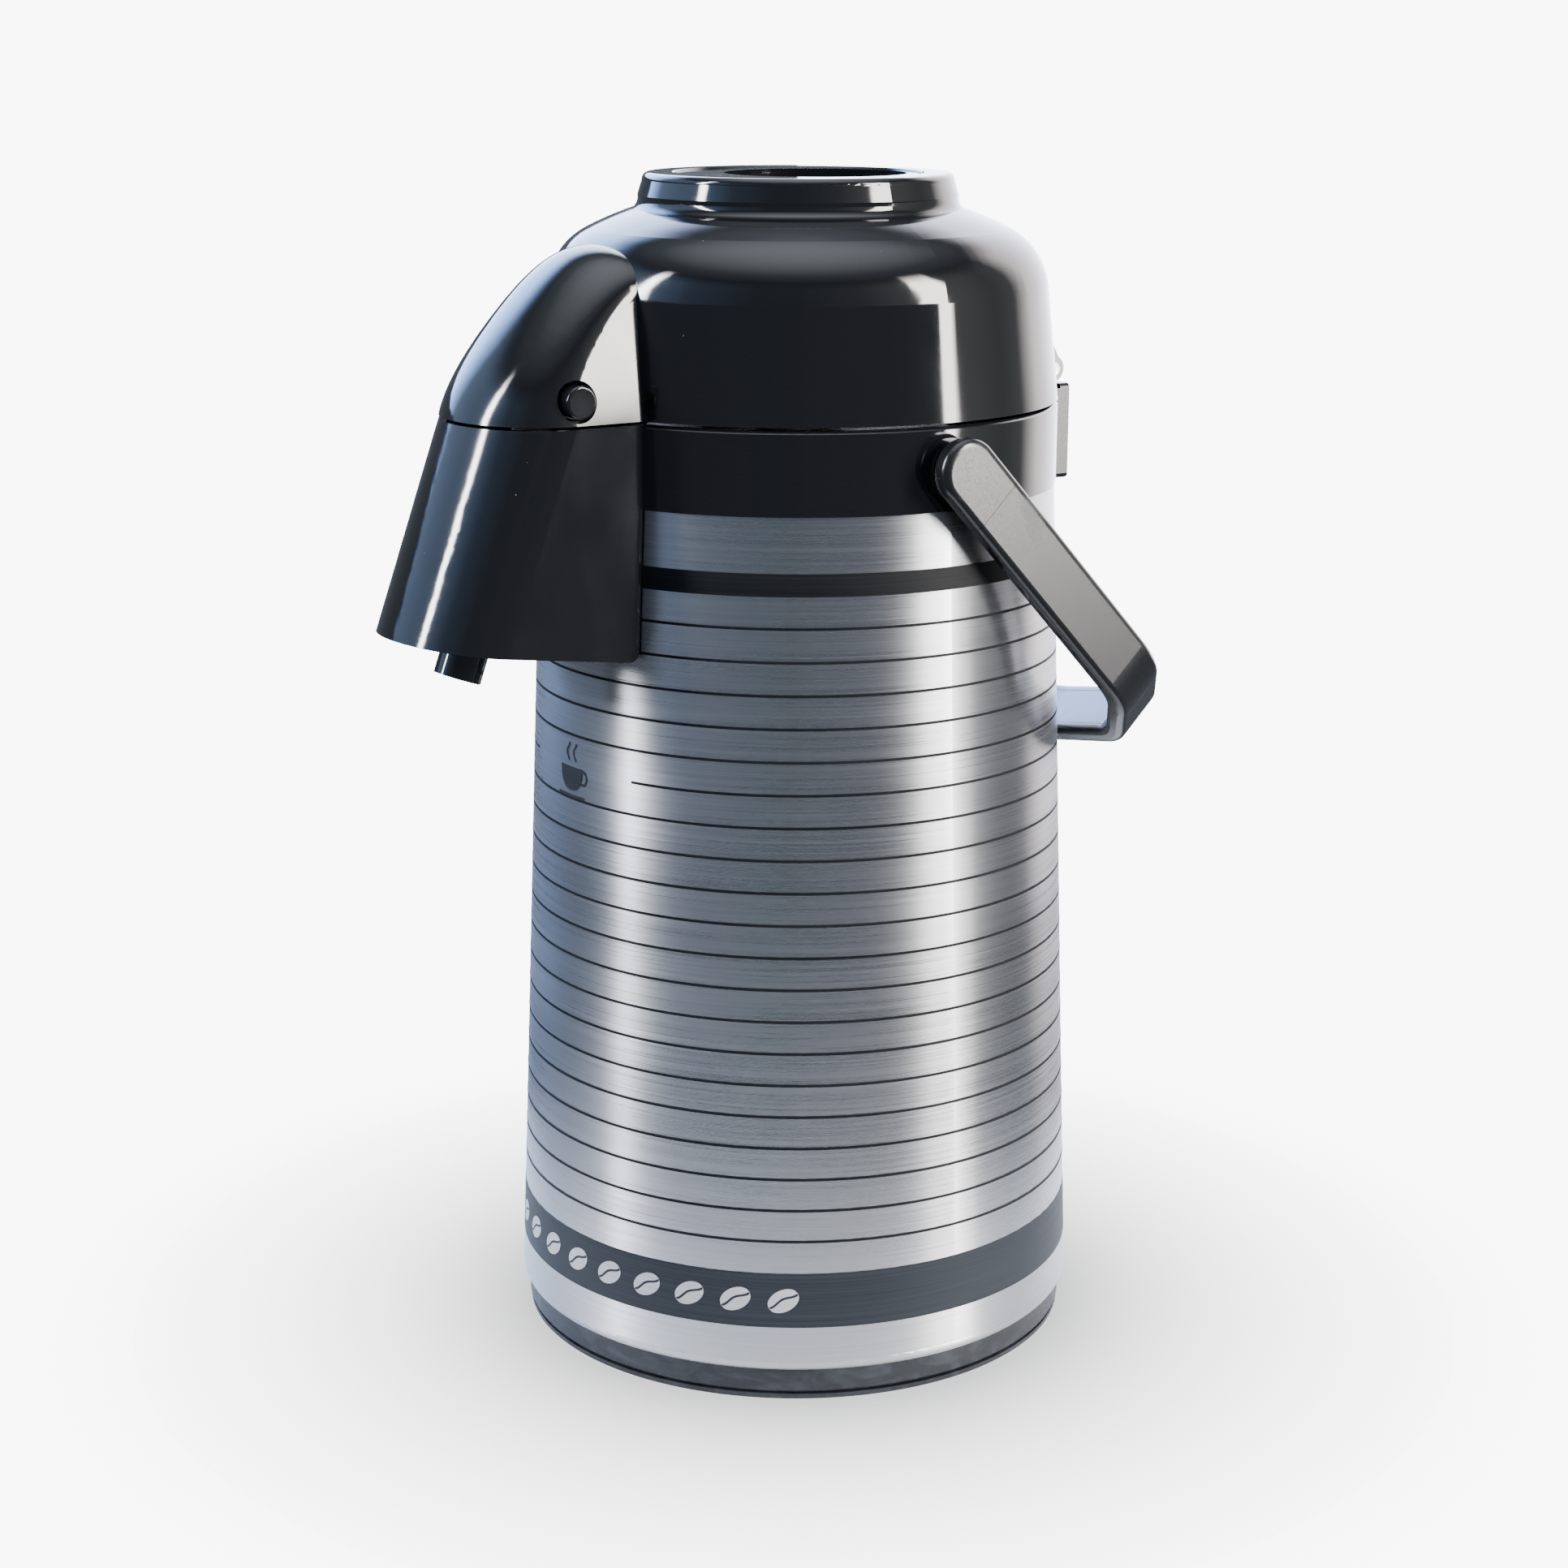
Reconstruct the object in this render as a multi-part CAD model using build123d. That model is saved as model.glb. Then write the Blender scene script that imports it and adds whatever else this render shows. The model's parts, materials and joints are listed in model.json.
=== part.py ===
from build123d import *
import os
from math import cos, radians, sin, tan

# Pump airpot with a glass liner, a hinged lid and a swinging bail handle.
# Millimetres, +Z up, origin in the middle of the footprint, spout towards -Y,
# lid hinge at +Y, bail pivots on the X axis.

# ---------------------------------------------------------------- stacked heights
foot_h = 11.0  # black base showing under the steel
casing_h = 265.5  # steel between base and collar
collar_h = 25.1
lid_gap = 1.0  # open joint between collar and lid
dome_h = 58.0  # lid's lower rim to the foot of the raised rim
rim_h = 10.9  # raised rim round the push button

# ---------------------------------------------------------------- casing and base
casing_foot_r = 91.3
casing_draft = 0.0374  # radius lost per millimetre of height
casing_wall = 0.8
casing_curl = 3.5  # height of the rounded lower edge
hem_in = 1.7  # how far the edge curls in
hem_w = 2.0  # flat hem that sits on the bottom shell
shell_wall = 2.4
shell_gap = 2.1  # bottom shell's outside lies this far inside the casing's foot
shell_spigot_h = 19.0
shell_rib_t = 2.0
support_in = 13.0  # foot of the flask support inside the flask's outside
shell_floor_z = 5.6  # underside of the bottom shell's floor
shell_skirt_z = 2.9
base_rim_in = 5.8  # base's raised rim inside the shell's outside
base_floor_z = 0.6
base_flange_z = 2.4  # top of the base's outer flange
base_top_z = 5.2
pad_in = 7.4  # pad's edge inside the base's raised rim
hub_r = 8.0
hub_run = 0.06  # radial running clearance of the swivel hub
swivel_play = 0.5
swivel_screw_r = 1.6
cross_w = 0.7  # width of a screw head's slot
washer_t = 1.5

# ---------------------------------------------------------------- glass flask
flask_gap = 7.7354  # between the flask and the steel at the flask's shoulder
flask_floor_z = 27.0
flask_shoulder_h = 24.0  # slope from the flask's body up to its neck
neck_r = 41.0
neck_top_drop = 15.6  # mouth of the flask below the collar's top
neck_len = 22.0
glass_wall = 1.8
vacuum_gap = 4.0
cushion_t = 3.0
gasket_t = 2.5

# ---------------------------------------------------------------- collar and lid
moulding = 2.4  # wall of the black mouldings
collar_step = 0.5  # collar stands proud of the steel
spigot_h = 10.0
spigot_wall = 2.6
fit = 0.15  # push-fit clearance between fixed pieces
deck_drop = 26.6  # collar deck below the collar's top
deck_t = 3.0
upstand_t = 2.5
knee_in = 3.7  # dome wall leans in this much up to its knee
knee_h = 34.4
brow_out = 14.3  # brow of the dome outside the rim's foot
brow_drop = 6.0
rim_foot_r = 51.7
rim_lean = 3.2
rim_edge_r = 2.2
button_in = 13.5  # button inside the rim's foot
button_run = 0.4  # radial gap between moving and fixed mouldings
button_drop = 0.5  # press plate below the rim
button_flange = 2.2
button_skirt_h = 31.0
sleeve_foot_z = 15.4  # foot of the guide sleeve above the lid's lower rim
plate_rise = 10.4  # lid base plate's underside above the lid's lower rim
plate_t = 3.0
air_port_r = 6.0
lid_screw_in = 19.9  # lid screws inside the collar's radius
bellows_in = 8.2  # bellows' neck inside the button's radius
bellows_fold = 4.6
bellows_skin = 1.1
bellows_neck = 3.0
bellows_folds = 6
return_spring_r = 15.0
return_wire = 1.6
dish_in = 9.7  # dish inside the button's radius
dish_back = 6.5
dish_depth = 9.0
lock_travel = 9.0
lock_slot_w = 5.0
lock_play = 0.4

# ---------------------------------------------------------------- spout
beak_half_w = 31.0
beak_root_in = 31.9  # root line of the beak inside the collar's radius
beak_root_reach = 22.0
beak_lean = 0.163  # side walls lean in per millimetre of height
nose_reach = 71.8  # root line to the tip at the split
nose_cap = 24.2
# angle up from the split, reach, depth of the arched nose
beak_slices = ((12, 66.6, 20.5), (25, 61.6, 17.5), (40, 58.6, 15.5), (57, 56.8, 14.5), (72, 49.0, 14.0))
housing_lean = 20.0  # degrees, front of the housing and nozzle
housing_drop = 71.1  # rear corner of the housing below the split
underside_rise = 7.8  # degrees
housing_corner_r = 3.0
steel_gap = 0.3
pipe_r = 5.5
pipe_bore_r = 4.0
pipe_bend = 13.0
riser_in = 15.0  # riser pipe inside the neck's radius
pipe_rise = 2.4  # pipe's level run above the collar's top
nozzle_r = 7.25
nozzle_out = 11.2  # nozzle shows this far under the housing
nozzle_len = 34.0
nozzle_from_nose = 25.7  # nozzle behind the housing's front

# ---------------------------------------------------------------- release buttons
knob_r = 5.0
knob_well = 1.2
knob_proud = 2.6
knob_from_root = 46.5  # knobs in front of the beak's root line
knob_rise = 6.9
release_travel = 2.5
knob_seat_in = 9.0  # knob flange's inner face inside the beak's side
stem_r = 2.0
stem_run = 0.06
keeper_t = 2.5
spring_room = 0.6

# ---------------------------------------------------------------- bail handle
bail_w = 20.0
bail_t = 7.0
bail_gap = 0.4
bail_boss_h = 2.6
bail_drop = 12.6  # pivot below the collar's top
bail_grip_out = 16.56  # middle of the grip outside the collar's radius, hanging
bail_corner_in = 21.0  # corner inside the arm's outer face
bail_corner_back = 20.0  # corner nearer the pivot than the grip
bail_shoulder_back = 45.0  # arms are straight up to here
bail_bends = (26.0, 26.0, 90.0)
bail_edge_r = 2.4
bail_hang = 46.5  # degrees below level, to the rear
bail_pin_r = 4.0
bail_cap_v = 14.5
bail_liner_t = 2.0
bail_liner_w = 14.0
pin_run = 0.06

# ---------------------------------------------------------------- lid hinge
hinge_y_out = 10.1  # pin centre outside the collar's radius
hinge_rise = 4.9  # pin centre above the collar's top
knuckle_r = 4.3
hinge_pin_r = 2.2
bracket_half_w = 16.0
bracket_t = 3.8
bracket_h = 31.0
bracket_proud = 0.9  # bracket's outer face beyond the knuckle
knuckle_half_w = 6.8
ear_w = 6.6
ear_crest = 6.0  # ear's top above the knuckle
bracket_screw_xs = (-8.0, 8.0)
bracket_screw_rise = 13.0  # above the collar's foot
screw_r = 1.5
screw_head_r = 2.9
screw_head_t = 1.6

# ---------------------------------------------------------------- worked-out levels
z_casing = foot_h
z_collar = z_casing + casing_h
z_split = z_collar + collar_h
z_lid = z_split + lid_gap
z_dome = z_lid + dome_h
z_top = z_dome + rim_h
z_deck = z_split - deck_drop
z_neck = z_split - neck_top_drop
z_plate = z_lid + plate_rise
z_button = z_top - button_drop
z_bail = z_split - bail_drop
z_hinge = z_split + hinge_rise
z_knob = z_lid + knob_rise
z_pipe = z_split + pipe_rise
z_bracket_screw = z_collar + bracket_screw_rise


def casing_r(z):
    """Outer radius of the steel at a height."""
    return casing_foot_r - casing_draft * (z - z_casing)


collar_r = casing_r(z_collar) + collar_step
shell_r = casing_foot_r - shell_gap
base_rim_r = shell_r - base_rim_in
pad_r = base_rim_r - pad_in
flask_shoulder_z = z_neck - neck_len - flask_shoulder_h
flask_r = casing_r(flask_shoulder_z) - flask_gap
support_r = flask_r - support_in
button_r = rim_foot_r - button_in
dish_r = button_r - dish_in
bellows_r = button_r - bellows_in
lid_screw_r = collar_r - lid_screw_in
riser_y = riser_in - neck_r
y_hinge = collar_r + hinge_y_out
y_bracket = y_hinge + knuckle_r + bracket_proud
y_beak_root = -(collar_r - beak_root_in)
knob_y = y_beak_root - knob_from_root
knob_seat_x = beak_half_w - knob_seat_in
keeper_x = pipe_r + 1.5
keeper_out = keeper_x + keeper_t
bail_in = collar_r + bail_boss_h + bail_gap
bail_out = bail_in + bail_t
bail_grip_v = (collar_r + bail_grip_out) / cos(radians(bail_hang))
y_lock = dish_back + 16.5  # lock knob sits at the rear of the dish


# ---------------------------------------------------------------- drawing helpers
def spun(*edges):
    """Revolve a closed outline, drawn as (radius, height), about Z."""
    return revolve(Plane.XZ * make_face(list(edges)), Axis.Z)


def turned(*points):
    return spun(Polyline(*points, close=True))


def ring(r_in, r_out, z0, z1):
    return turned((r_in, z0), (r_out, z0), (r_out, z1), (r_in, z1))


def rod(r, z0, z1, x=0.0, y=0.0):
    return Pos(x, y, z0) * Cylinder(r, z1 - z0, align=(Align.CENTER, Align.CENTER, Align.MIN))


def x_rod(r, x0, x1, y, z):
    turn = Pos(x0, y, z) * Rot(0, 90, 0)
    return turn * Cylinder(r, x1 - x0, align=(Align.CENTER, Align.CENTER, Align.MIN))


def y_rod(r, y0, y1, x, z):
    turn = Pos(x, y0, z) * Rot(-90, 0, 0)
    return turn * Cylinder(r, y1 - y0, align=(Align.CENTER, Align.CENTER, Align.MIN))


def block(x0, x1, y0, y1, z0, z1):
    return Pos(x0, y0, z0) * Box(x1 - x0, y1 - y0, z1 - z0, align=(Align.MIN, Align.MIN, Align.MIN))


def polar(radius, degrees_round):
    return radius * cos(radians(degrees_round)), radius * sin(radians(degrees_round))


def coil(r, wire, height, turns):
    """Coil spring standing on the local XY plane."""
    path = Helix(pitch=(height - wire) / turns, height=height - wire, radius=r)
    section = Plane(origin=path @ 0, z_dir=path % 0) * Circle(wire / 2)
    return Pos(0, 0, wire / 2) * sweep(section, path=path)


# ---------------------------------------------------------------- base
def make_swivel_base():
    flange_r = shell_r - 0.3
    body = turned(
        (0, base_floor_z), (flange_r - 0.5, base_floor_z), (flange_r, base_floor_z + 0.5),
        (flange_r, base_flange_z), (base_rim_r, base_flange_z), (base_rim_r, base_top_z),
        (base_rim_r - 8, base_top_z), (base_rim_r - 8, base_top_z - 1.6),
        (hub_r + 6, base_top_z - 1.6), (hub_r + 6, base_top_z), (hub_r, base_top_z),
        (hub_r, shell_floor_z + shell_wall + swivel_play), (0, shell_floor_z + shell_wall + swivel_play),
    )
    rib = block(hub_r + 4, base_rim_r - 6, -shell_rib_t / 2, shell_rib_t / 2, base_top_z - 2, base_top_z)
    ribs = [Rot(0, 0, a) * rib for a in range(0, 360, 30)]
    screw_hole = rod(swivel_screw_r, base_floor_z + 0.6, z_casing)
    return body + ribs - screw_hole


def make_non_slip_pad():
    return rod(pad_r, 0, base_floor_z)


def make_swivel_washer():
    seat = shell_floor_z + shell_wall + swivel_play
    return ring(swivel_screw_r + 0.1, hub_r + 5, seat, seat + washer_t)


def make_swivel_screw():
    seat = shell_floor_z + shell_wall + swivel_play + washer_t
    head = turned((0, seat), (3.6, seat), (3.2, seat + 1.6), (2.2, seat + 2.2), (0, seat + 2.2))
    slot = block(-1.8, 1.8, -cross_w / 2, cross_w / 2, seat + 1.3, seat + 3)
    return head + rod(swivel_screw_r, base_floor_z + 0.6, seat) - slot - Rot(0, 0, 90) * slot


def make_bottom_shell():
    step_r = casing_foot_r - hem_in - hem_w - fit
    skirt_in = base_rim_r + 0.6
    top = z_casing + shell_spigot_h
    body = turned(
        (hub_r + hub_run, shell_floor_z), (skirt_in, shell_floor_z), (skirt_in, shell_skirt_z),
        (shell_r - 0.9, shell_skirt_z), (shell_r, shell_skirt_z + 0.9), (shell_r, z_casing), (step_r, z_casing),
        (step_r, top), (step_r - shell_wall, top), (step_r - shell_wall, shell_floor_z + shell_wall),
        (hub_r + hub_run, shell_floor_z + shell_wall),
    )
    half = shell_rib_t / 2
    rib = block(support_r + 8, step_r - 1, -half, half, shell_floor_z + 2, z_casing + 4)
    ribs = [Rot(0, 0, a) * rib for a in range(0, 360, 45)]
    return body + ribs


# ---------------------------------------------------------------- casing
def make_steel_casing():
    foot_r, top_r = casing_foot_r, casing_r(z_collar)
    curl_top = z_casing + casing_curl
    middle = (foot_r - 0.3 * hem_in, z_casing + 0.32 * casing_curl)
    bend = ThreePointArc((foot_r - hem_in, z_casing), middle, (casing_r(curl_top), curl_top))
    inner_r = casing_r(curl_top) - casing_wall
    rest = Polyline(
        bend @ 1, (top_r, z_collar), (top_r - casing_wall, z_collar), (inner_r, curl_top),
        (foot_r - hem_in - 0.3, z_casing + casing_wall), (foot_r - hem_in - hem_w, z_casing + casing_wall),
        (foot_r - hem_in - hem_w, z_casing), bend @ 0,
    )
    return spun(bend, rest)


# ---------------------------------------------------------------- flask
def bottle(r_body, r_neck, z_floor, z_shoulder, z_top, corner):
    z_join = z_neck - neck_len
    path = FilletPolyline(
        (0, z_floor), (r_body, z_floor), (r_body, z_shoulder), (r_neck, z_join), (r_neck, z_top),
        radius=(corner, corner * 0.6, 6),
    )
    return spun(path, Polyline(path @ 1, (0, z_top), (0, z_floor)))


def make_flask_outer_glass():
    w = glass_wall
    top = z_neck - glass_wall
    outside = bottle(flask_r, neck_r, flask_floor_z, flask_shoulder_z, top, 20)
    return outside - bottle(flask_r - w, neck_r - w, flask_floor_z + w, flask_shoulder_z, top + 1, 20 - w)


def make_flask_inner_glass():
    w = glass_wall
    gap = w + vacuum_gap
    neck_in = neck_r - w - 2.5
    r, floor, shoulder = flask_r - gap, flask_floor_z + gap, flask_shoulder_z - 2
    outside = bottle(r, neck_in, floor, shoulder, z_neck - w, 16)
    hollow = bottle(r - w, neck_in - w, floor + w, shoulder, z_neck + 1, 16 - w)
    return outside + ring(neck_in - w, neck_r, z_neck - w, z_neck) - hollow


def make_flask_support():
    floor = shell_floor_z + shell_wall
    seat = flask_floor_z - cushion_t
    under = seat - shell_wall
    return turned(
        (support_r - 6, floor), (support_r, floor), (support_r, floor + 2), (support_r - 3.5, floor + 2),
        (support_r - 3.5, under), (support_r + 4, under), (support_r + 4, seat), (support_r / 2, seat),
        (support_r / 2, under), (support_r - 6, under),
    )


def make_flask_cushion():
    return rod(support_r - 8, flask_floor_z - cushion_t, flask_floor_z)


def make_shoulder_cushion():
    # The pad's underside follows the sloping shoulder of the glass.
    run, fall = flask_r - neck_r, flask_shoulder_z - (z_neck - neck_len)
    slope = fall / run

    def glass_z(r):
        return z_neck - neck_len + (r - neck_r) * slope + 0.3

    r_in, r_out = neck_r + 10, neck_r + 17
    deck_under = z_deck - deck_t
    return turned((r_in, glass_z(r_in)), (r_out, glass_z(r_out)), (r_out, deck_under), (r_in, deck_under))


def make_neck_gasket():
    return ring(neck_r - 6, neck_r, z_neck, z_neck + gasket_t)


# ---------------------------------------------------------------- pipe work
def make_pipe_plate():
    z0 = z_neck + gasket_t
    rim = neck_r + 9
    r_out, r_in = neck_r - 7, neck_r - 8.5
    body = turned((8, z0), (r_out, z0), (r_out, z0 - 5), (r_in, z0 - 5), (r_in, z0 - 2), (8, z0 - 2))
    top = turned((8, z0), (rim, z0), (rim, z0 + 2.5), (rim - 1, z0 + 3.5), (8, z0 + 3.5))
    tabs = [Rot(0, 0, a) * block(rim - 2, rim + 6, -6, 6, z0, z0 + 3) for a in (0, 180)]
    return body + top + tabs - rod(pipe_r - 0.5, z0 - 10, z0 + 10, 0, riser_y)


def make_dip_tube():
    z0 = flask_floor_z + 2 * glass_wall + vacuum_gap + 5
    top = z_neck + gasket_t - 2
    tube = rod(pipe_r - 0.5, z0, top, 0, riser_y) - rod(pipe_bore_r, z0 - 1, top + 1, 0, riser_y)
    notch = block(-1.5, 1.5, -2 * pipe_r, 2 * pipe_r, 0, 5)
    notches = [Pos(0, riser_y, z0) * Rot(0, 0, a) * notch for a in (0, 90)]
    return tube - notches


def pipe_path():
    tilt = radians(housing_lean)
    end = nozzle_end()
    up = end + Vector(0, sin(tilt), cos(tilt)) * 12
    knee_y = end.Y + (z_pipe - end.Z) * tan(tilt)
    z0 = z_neck + 6
    corners = (0, riser_y, z0), (0, riser_y, z_pipe), (0, knee_y, z_pipe), up
    return FilletPolyline(*corners, radius=(8.0, pipe_bend))


def make_spout_pipe():
    path = pipe_path()
    start = Plane(origin=path @ 0, z_dir=path % 0)
    outer = sweep(start * Circle(pipe_r), path=path, transition=Transition.RIGHT)
    inner = sweep(start * Circle(pipe_bore_r), path=path, transition=Transition.RIGHT)
    return outer - inner


def make_pipe_union_nut():
    z0 = z_neck + 6
    grip = Pos(0, riser_y, z0) * extrude(RegularPolygon(9.2, 8), 4)
    return grip - rod(pipe_r, z0 - 1, z0 + 10, 0, riser_y)


def underside_z(y):
    """Height of the spout housing's lower face."""
    return z_split - housing_drop + (y_rear_corner() - y) * tan(radians(underside_rise))


def y_rear_corner():
    r = casing_r(z_split - housing_drop) + steel_gap
    return -((r**2 - beak_half_w**2) ** 0.5)


def nozzle_end():
    """Middle of the nozzle's square-cut lower end."""
    tilt = radians(housing_lean)
    y_exit = y_nose(z_split - housing_drop + 9) + nozzle_from_nose
    exit_point = Vector(0, y_exit, underside_z(y_exit))
    return exit_point - Vector(0, sin(tilt), cos(tilt)) * nozzle_out


def y_nose(z):
    return y_beak_root - nose_reach - (z_split - z) * tan(radians(housing_lean))


def nozzle_frame():
    tilt = radians(housing_lean)
    return Plane(origin=nozzle_end(), x_dir=(1, 0, 0), z_dir=(0, sin(tilt), cos(tilt)))


def make_nozzle_tip():
    frame = nozzle_frame()
    low = (Align.CENTER, Align.CENTER, Align.MIN)
    tube = Cylinder(nozzle_r, nozzle_len, align=low)
    collar = Pos(0, 0, nozzle_out + 7.4) * Cylinder(nozzle_r + 1.8, 2, align=low)
    socket = Pos(0, 0, 12) * Cylinder(pipe_r, nozzle_len, align=low)
    bore = Pos(0, 0, -1) * Cylinder(pipe_bore_r + 0.8, nozzle_len, align=low)
    return frame * (tube + collar - socket - bore)


def make_nozzle_grommet():
    frame = nozzle_frame()
    meet = cos(radians(housing_lean - underside_rise))
    middle = frame.origin + frame.z_dir * (nozzle_out + moulding / meet)
    seat = Plane(origin=middle, x_dir=(1, 0, 0), z_dir=under_plane().z_dir)
    body = seat * Cylinder(nozzle_r + 4, 2.4, align=(Align.CENTER, Align.CENTER, Align.MIN))
    return body - frame * Cylinder(nozzle_r, 80)


# ---------------------------------------------------------------- collar and housing
def housing_section(z, inset):
    """Plan of the spout housing: straight sides and an elliptical nose."""
    half_w = beak_half_w - inset
    cap = nose_cap - inset
    y_spring = y_nose(z) + nose_cap
    y_back = -collar_r / 2
    nose = EllipticalCenterArc((0, y_spring), half_w, cap, start_angle=180, arc_size=180)
    sides = Polyline(nose @ 1, (half_w, y_back), (-half_w, y_back), nose @ 0)
    return Pos(0, 0, z) * make_face([nose, sides])


def housing_solid(inset, z_from):
    z_low = z_split - housing_drop - 14
    return loft([housing_section(z_low, inset), housing_section(z_from, inset)], ruled=True)


def under_plane(rise=0.0):
    """Plane of the housing's lower face, normal upwards, shifted up by rise."""
    slope = radians(underside_rise)
    corner = (0, y_rear_corner(), z_split - housing_drop)
    return Plane(origin=corner, x_dir=(1, 0, 0), z_dir=(0, sin(slope), cos(slope))).offset(rise)


def half_space(plane):
    """Big block under a plane."""
    size = 4 * collar_r
    return plane * Box(size, size, size, align=(Align.CENTER, Align.CENTER, Align.MAX))


def steel_keep_out(gap):
    z0 = z_split - housing_drop - 30
    return turned((0, z0), (casing_r(z0) + gap, z0), (casing_r(z_collar) + gap, z_collar), (0, z_collar))


def make_shoulder_collar():
    wall_r = collar_r - moulding
    spigot_r = casing_r(z_collar) - casing_wall - fit
    deck_under = z_deck - deck_t
    up_in, up_out = neck_r + 1.5, neck_r + 1.5 + upstand_t
    up_top = z_neck + gasket_t
    band = turned(
        (collar_r, z_collar), (collar_r, z_split - 0.9), (collar_r - 0.9, z_split), (wall_r, z_split),
        (wall_r, z_deck), (up_out, z_deck), (up_out, up_top), (up_in, up_top), (up_in, deck_under),
        (spigot_r - spigot_wall, deck_under), (spigot_r - spigot_wall, z_collar - spigot_h),
        (spigot_r, z_collar - spigot_h), (spigot_r, z_collar),
    )
    outer = housing_solid(0, z_split) - half_space(under_plane()) - steel_keep_out(steel_gap)
    outer -= rod(wall_r, z_collar, z_split + 1)
    keep = steel_keep_out(steel_gap + moulding) + rod(collar_r, z_collar - 1, z_split + 1)
    hollow = housing_solid(moulding, z_split + 1) - keep
    outer -= rear_corner_rounding()
    pipe_gate = block(-pipe_r - 5, pipe_r + 5, -collar_r - 1, -wall_r + 6, z_pipe - pipe_r - 4, z_split + 1)
    return band + (outer - hollow) + hinge_boss() + bail_bosses() - pipe_gate - collar_holes()


def rear_corner_rounding():
    """Slivers outside the rounded rear lower corners of the housing's side walls."""
    r = housing_corner_r
    rise = r * (tan(radians(underside_rise)) + 1 / cos(radians(underside_rise)))
    frame = Plane(origin=(0, y_rear_corner(), z_split - housing_drop), x_dir=(0, 1, 0), z_dir=(1, 0, 0))
    corner = make_face(Polyline((-r, -1), (1, -1), (1, rise), (-r, rise), close=True))
    sliver = corner - Pos(-r, rise) * Circle(r)
    right = extrude(frame.offset(beak_half_w - moulding) * sliver, moulding + 1, dir=(1, 0, 0))
    return right + mirror(right, Plane.YZ)


def hinge_boss():
    y_seat = y_bracket - bracket_t
    half_w = bracket_half_w - 3
    boss = block(-half_w, half_w, collar_r - moulding, y_seat, z_collar + 2.5, z_split - 5)
    return boss - rod(collar_r - moulding / 2, z_collar, z_split)


def bail_bosses():
    x0, x1 = collar_r - moulding / 2, collar_r + bail_boss_h
    right = x_rod(9, x0, x1, 0, z_bail)
    left = x_rod(9, -x1, -x0, 0, z_bail)
    return right + left


def collar_holes():
    pins = x_rod(bail_pin_r, -bail_out, bail_out, 0, z_bail)
    screws = [y_rod(screw_r, collar_r - 10, y_hinge + 10, x, z_bracket_screw) for x in bracket_screw_xs]
    return [pins, *screws]


def make_spout_underside_cover():
    body = housing_solid(moulding + fit, z_split) - steel_keep_out(steel_gap + moulding + fit)
    plate = (body & half_space(under_plane(moulding))) - half_space(under_plane())
    hole = nozzle_frame() * Cylinder(nozzle_r + 0.4, 60)
    screws = [under_plane() * Pos(x, y, 0) * Cylinder(1.6, 30) for x, y in cover_screw_spots()]
    return plate - hole - screws


def cover_screw_spots():
    return (-16.0, -12.0), (16.0, -12.0)


def make_housing_screws():
    screws = []
    for x, y in cover_screw_spots():
        head = Pos(0, 0, -1.4) * Cylinder(3.0, 1.4, align=(Align.CENTER, Align.CENTER, Align.MIN))
        shank = Cylinder(1.6, 9, align=(Align.CENTER, Align.CENTER, Align.MIN))
        slot = Pos(0, 0, -1.4) * Box(3.6, 0.7, 1.2)
        screws.append(under_plane() * Pos(x, y, 0) * (head + shank - slot))
    return Compound(children=screws)


# ---------------------------------------------------------------- lid
def dome_solid(inset):
    """Dome from the lid's lower rim up, drawn inset from its outside."""
    knee = (collar_r - knee_in - inset, z_lid + knee_h)
    brow = (rim_foot_r + brow_out - inset, z_dome - brow_drop - inset)
    crown = (rim_foot_r, z_dome - inset)
    wall = Line((collar_r - inset, z_lid), knee)
    corner = TangentArc(knee, brow, tangent=wall % 1)
    top = TangentArc(brow, crown, tangent=corner % 1)
    rest = Polyline(crown, (0, z_dome - inset), (0, z_lid), wall @ 0)
    return spun(wall, corner, top, rest)


def beak_slice(angle, reach, cap, inset):
    """Arched slice of the upper beak, tilted up about the beak's root line."""
    tilt = radians(angle)
    lean = beak_lean * sin(tilt)
    spring = reach - cap
    root_x = beak_half_w - inset - lean * beak_root_reach
    spring_x = beak_half_w - inset - lean * spring
    arch = EllipticalCenterArc((0, spring), spring_x, cap - inset, arc_size=180)
    sides = Polyline(arch @ 1, (-root_x, beak_root_reach), (root_x, beak_root_reach), arch @ 0)
    frame = Plane(origin=(0, y_beak_root, z_lid), x_dir=(1, 0, 0), z_dir=(0, -sin(tilt), -cos(tilt)))
    return frame * make_face([arch, sides])


def beak_solid(inset):
    slices = [beak_slice(0, nose_reach, nose_cap, inset)]
    slices += [beak_slice(angle, reach, cap, inset) for angle, reach, cap in beak_slices]
    return loft(slices)


def rim_and_sleeve():
    bore = button_r + button_run
    wide = bore + button_flange + button_run
    top_r = rim_foot_r - rim_lean
    ledge = z_button - button_skirt_h + button_flange + 0.3
    foot = z_lid + sleeve_foot_z
    toe, heel = (rim_foot_r + 0.6, z_dome - 0.5), (rim_foot_r - 1.8, z_dome + 4)
    fillet_in = ThreePointArc(toe, (rim_foot_r - 1.2, z_dome + 1.0), heel)
    edge_z = z_top - rim_edge_r
    middle = (top_r - 0.3 * rim_edge_r, z_top - 0.3 * rim_edge_r)
    edge = ThreePointArc((top_r, edge_z), middle, (top_r - rim_edge_r, z_top))
    wall = Line(fillet_in @ 1, edge @ 0)
    rest = Polyline(
        edge @ 1, (bore + 0.5, z_top), (bore, z_top - 0.5), (bore, ledge), (wide, ledge), (wide, foot),
        (wide + moulding, foot), (wide + moulding, z_dome - 2), (toe[0], z_dome - 2), toe,
    )
    return spun(fillet_in, wall, edge, rest)


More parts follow.
